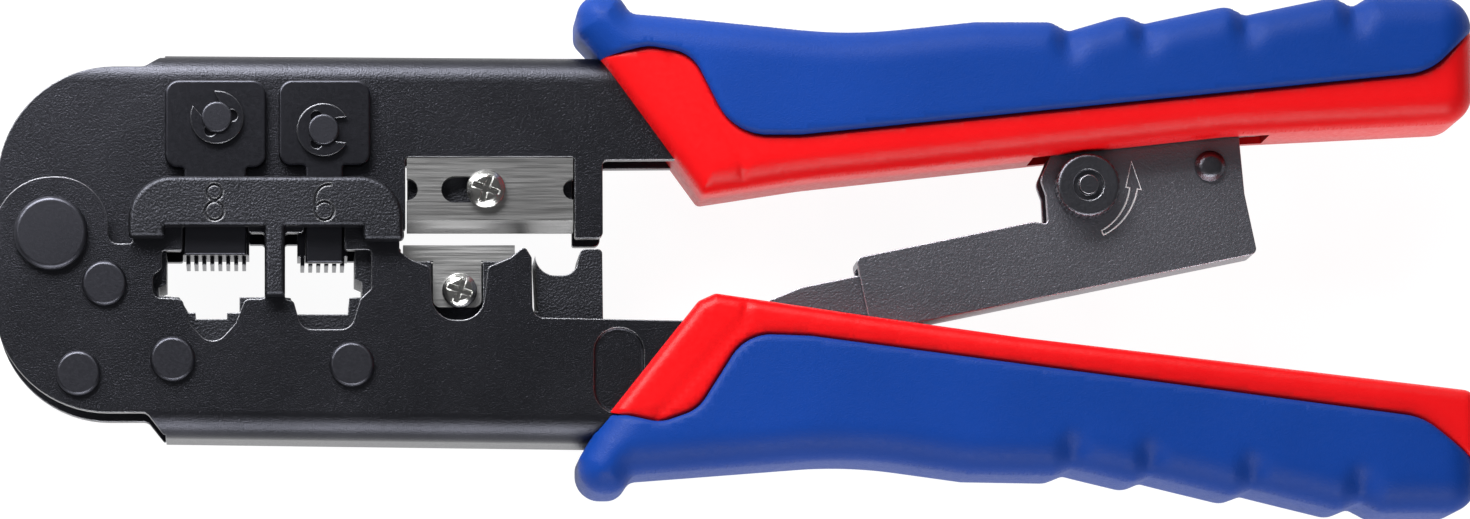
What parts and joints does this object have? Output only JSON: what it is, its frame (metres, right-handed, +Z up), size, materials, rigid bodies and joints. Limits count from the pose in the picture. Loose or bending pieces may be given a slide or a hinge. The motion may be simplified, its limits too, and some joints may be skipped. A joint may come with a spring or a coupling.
{
  "type": "modular plug crimping tool",
  "caption": "Hand crimping tool for modular plugs with wire-cutting and stripping blades, a ratchet strut with release knob, and two-colour handles.",
  "frame": {"origin": "centre of the bounding box, on the plane the tool lies on", "axes": "+X from the hinge to the handle ends, +Y to the upper handle, +Z up, out of the front face"},
  "size_m": [0.1902, 0.067, 0.022],
  "materials": {
    "black_steel": "satin",
    "black_cast": "matt, fine grain",
    "ground_steel": "ground",
    "plain_steel": "plain",
    "zinc": "bright",
    "red_plastic": "smooth",
    "blue_rubber": "soft, fine texture"
  },
  "bodies": {
    "lower_arm": {"cable_stop": "black_cast", "die_block": "black_cast", "die_rivets": "black_steel", "guide_bar": "black_cast", "head_spacer": "plain_steel", "lower_arm": "black_steel", "lower_blade": "ground_steel", "lower_blade_screw": "zinc", "lower_grip_pad": "blue_rubber", "lower_grip_shell": "red_plastic", "main_rivet": "black_steel", "tongue_pin": "plain_steel"},
    "upper_arm": {"upper_arm": "black_steel", "pivot_bush": "plain_steel", "blade_carrier": "black_cast", "upper_blade": "ground_steel", "upper_blade_screw": "zinc", "upper_grip_shell": "red_plastic", "upper_grip_pad": "blue_rubber", "housing_pin": "plain_steel", "opening_spring": "plain_steel"},
    "plunger_8way": {"crimp_comb_8way": "black_steel", "plunger_pin_8way": "black_steel", "plunger_plate_8way": "black_steel", "retaining_ring_8way": "black_steel"},
    "plunger_6way": {"crimp_comb_6way": "black_steel", "plunger_pin_6way": "black_steel", "plunger_plate_6way": "black_steel", "retaining_ring_6way": "black_steel"},
    "ratchet_tongue": {"ratchet_tongue": "black_steel"},
    "ratchet_housing": {"ratchet_housing": "black_steel", "domed_rivet": "black_steel", "pawl_spring": "plain_steel"},
    "release_knob": {"release_knob": "black_steel", "pawl": "black_steel"}
  },
  "joints": [
    {"name": "handle_hinge", "type": "hinge", "parent": "lower_arm", "child": "upper_arm", "pos_m": [-0.0878, 0.0025, 0.011], "axis": [0, 0, 1], "range_deg": [-0.6, 8]},
    {"name": "plunger_8way_slide", "type": "slide", "parent": "lower_arm", "child": "plunger_8way", "axis": [0, 1, 0], "range_m": [-0.0003, 0.003]},
    {"name": "plunger_6way_slide", "type": "slide", "parent": "lower_arm", "child": "plunger_6way", "axis": [0, 1, 0], "range_m": [-0.0004, 0.0049]},
    {"name": "tongue_hinge", "type": "hinge", "parent": "lower_arm", "child": "ratchet_tongue", "pos_m": [0.0044, -0.00946, 0.011], "axis": [0, 0, 1], "range_deg": [-1.5, 18.5]},
    {"name": "housing_hinge", "type": "hinge", "parent": "upper_arm", "child": "ratchet_housing", "pos_m": [0.0613, 0.0185, 0.011], "axis": [0, 0, 1], "range_deg": [-0.9, 10.5]},
    {"name": "release_knob_turn", "type": "hinge", "parent": "ratchet_housing", "child": "release_knob", "pos_m": [0.0452, 0.0089, 0.011], "axis": [0, 0, 1], "range_deg": [0, 20], "stiffness_Nm_per_rad": 0.02, "springref_deg": -5.73}
  ],
  "couplings": [
    {"joint": "plunger_8way_slide", "follows": "handle_hinge", "m_per_rad": 0.0211},
    {"joint": "plunger_6way_slide", "follows": "handle_hinge", "m_per_rad": 0.0347},
    {"joint": "tongue_hinge", "follows": "handle_hinge", "ratio": 2.3},
    {"joint": "housing_hinge", "follows": "handle_hinge", "ratio": 1.3}
  ]
}
